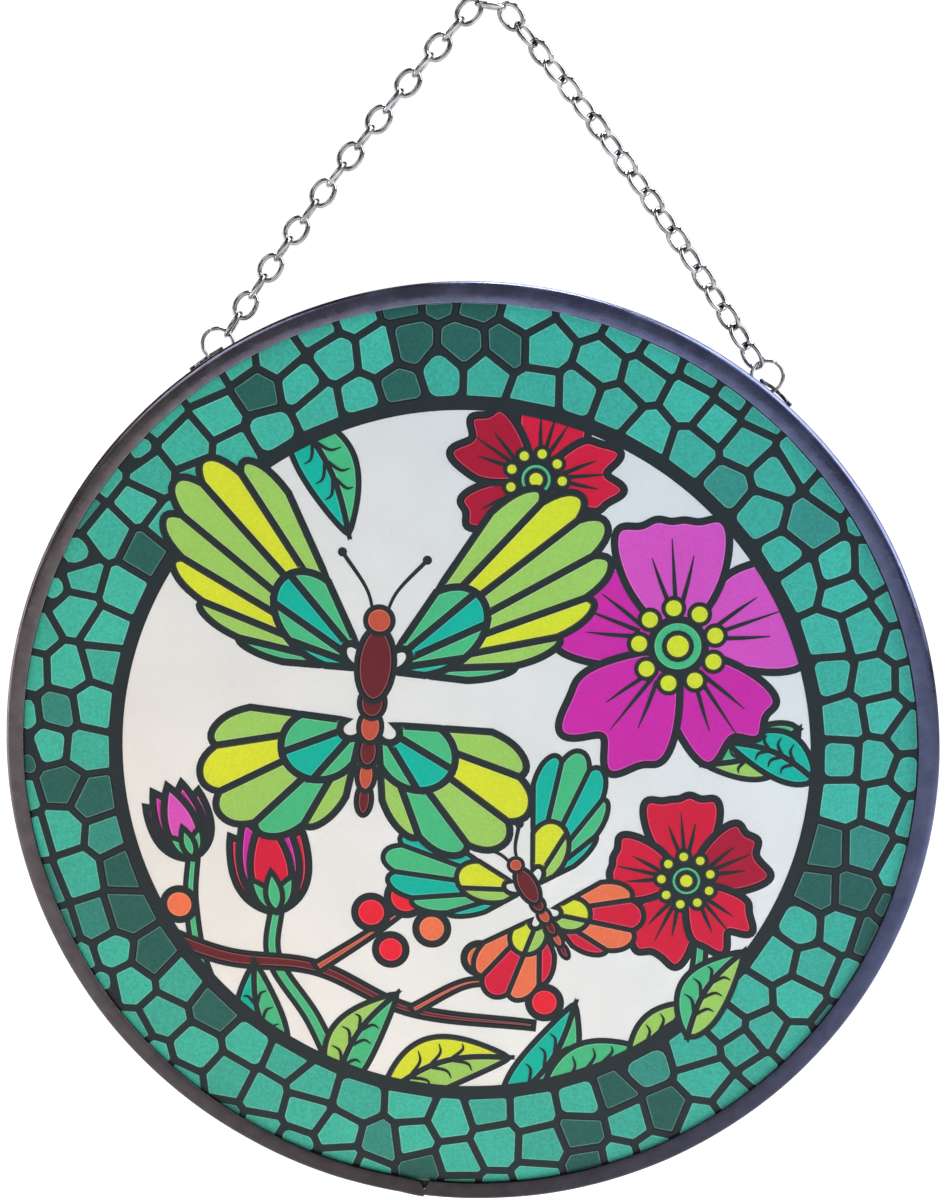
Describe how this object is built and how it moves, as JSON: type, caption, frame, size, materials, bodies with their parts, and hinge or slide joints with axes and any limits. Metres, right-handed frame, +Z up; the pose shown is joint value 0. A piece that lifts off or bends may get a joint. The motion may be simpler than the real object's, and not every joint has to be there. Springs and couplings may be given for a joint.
{
  "type": "stained glass suncatcher",
  "caption": "Round printed-glass suncatcher in a dark metal channel rim, hung in a window from a short bright cable chain.",
  "frame": {"origin": "where a hook or nail bears, under the chain's middle link", "axes": "+Z up, the picture faces -Y, +X to the right seen from the front; the disc hangs below the origin and just in front of it"},
  "size_m": [0.15, 0.0071, 0.1943],
  "materials": {
    "dark_metal": "glossy black-nickel plated channel, slightly wavy",
    "printed_glass": "clear sheet glass with a glossy translucent print",
    "bright_metal": "bright nickel-plated wire"
  },
  "bodies": {
    "root": {"rim": "dark_metal", "glass_panel": "printed_glass", "bail_left": "dark_metal", "bail_right": "dark_metal", "jump_ring_left": "bright_metal", "jump_ring_right": "bright_metal", "chain_link_01": "bright_metal", "chain_link_02": "bright_metal", "chain_link_03": "bright_metal", "chain_link_04": "bright_metal", "chain_link_05": "bright_metal", "chain_link_06": "bright_metal", "chain_link_07": "bright_metal", "chain_link_08": "bright_metal", "chain_link_09": "bright_metal", "chain_link_10": "bright_metal", "chain_link_11": "bright_metal", "chain_link_12": "bright_metal", "chain_link_13": "bright_metal", "chain_link_14": "bright_metal", "chain_link_15": "bright_metal", "chain_link_16": "bright_metal", "chain_link_17": "bright_metal", "chain_link_18": "bright_metal", "chain_link_19": "bright_metal", "chain_link_20": "bright_metal", "chain_link_21": "bright_metal", "chain_link_22": "bright_metal", "chain_link_23": "bright_metal", "chain_link_24": "bright_metal", "chain_link_25": "bright_metal", "chain_link_26": "bright_metal", "chain_link_27": "bright_metal", "chain_link_28": "bright_metal", "chain_link_29": "bright_metal", "chain_link_30": "bright_metal", "chain_link_31": "bright_metal", "chain_link_32": "bright_metal", "chain_link_33": "bright_metal", "chain_link_34": "bright_metal", "chain_link_35": "bright_metal", "chain_link_36": "bright_metal", "chain_link_37": "bright_metal", "chain_link_38": "bright_metal"}
  },
  "joints": []
}
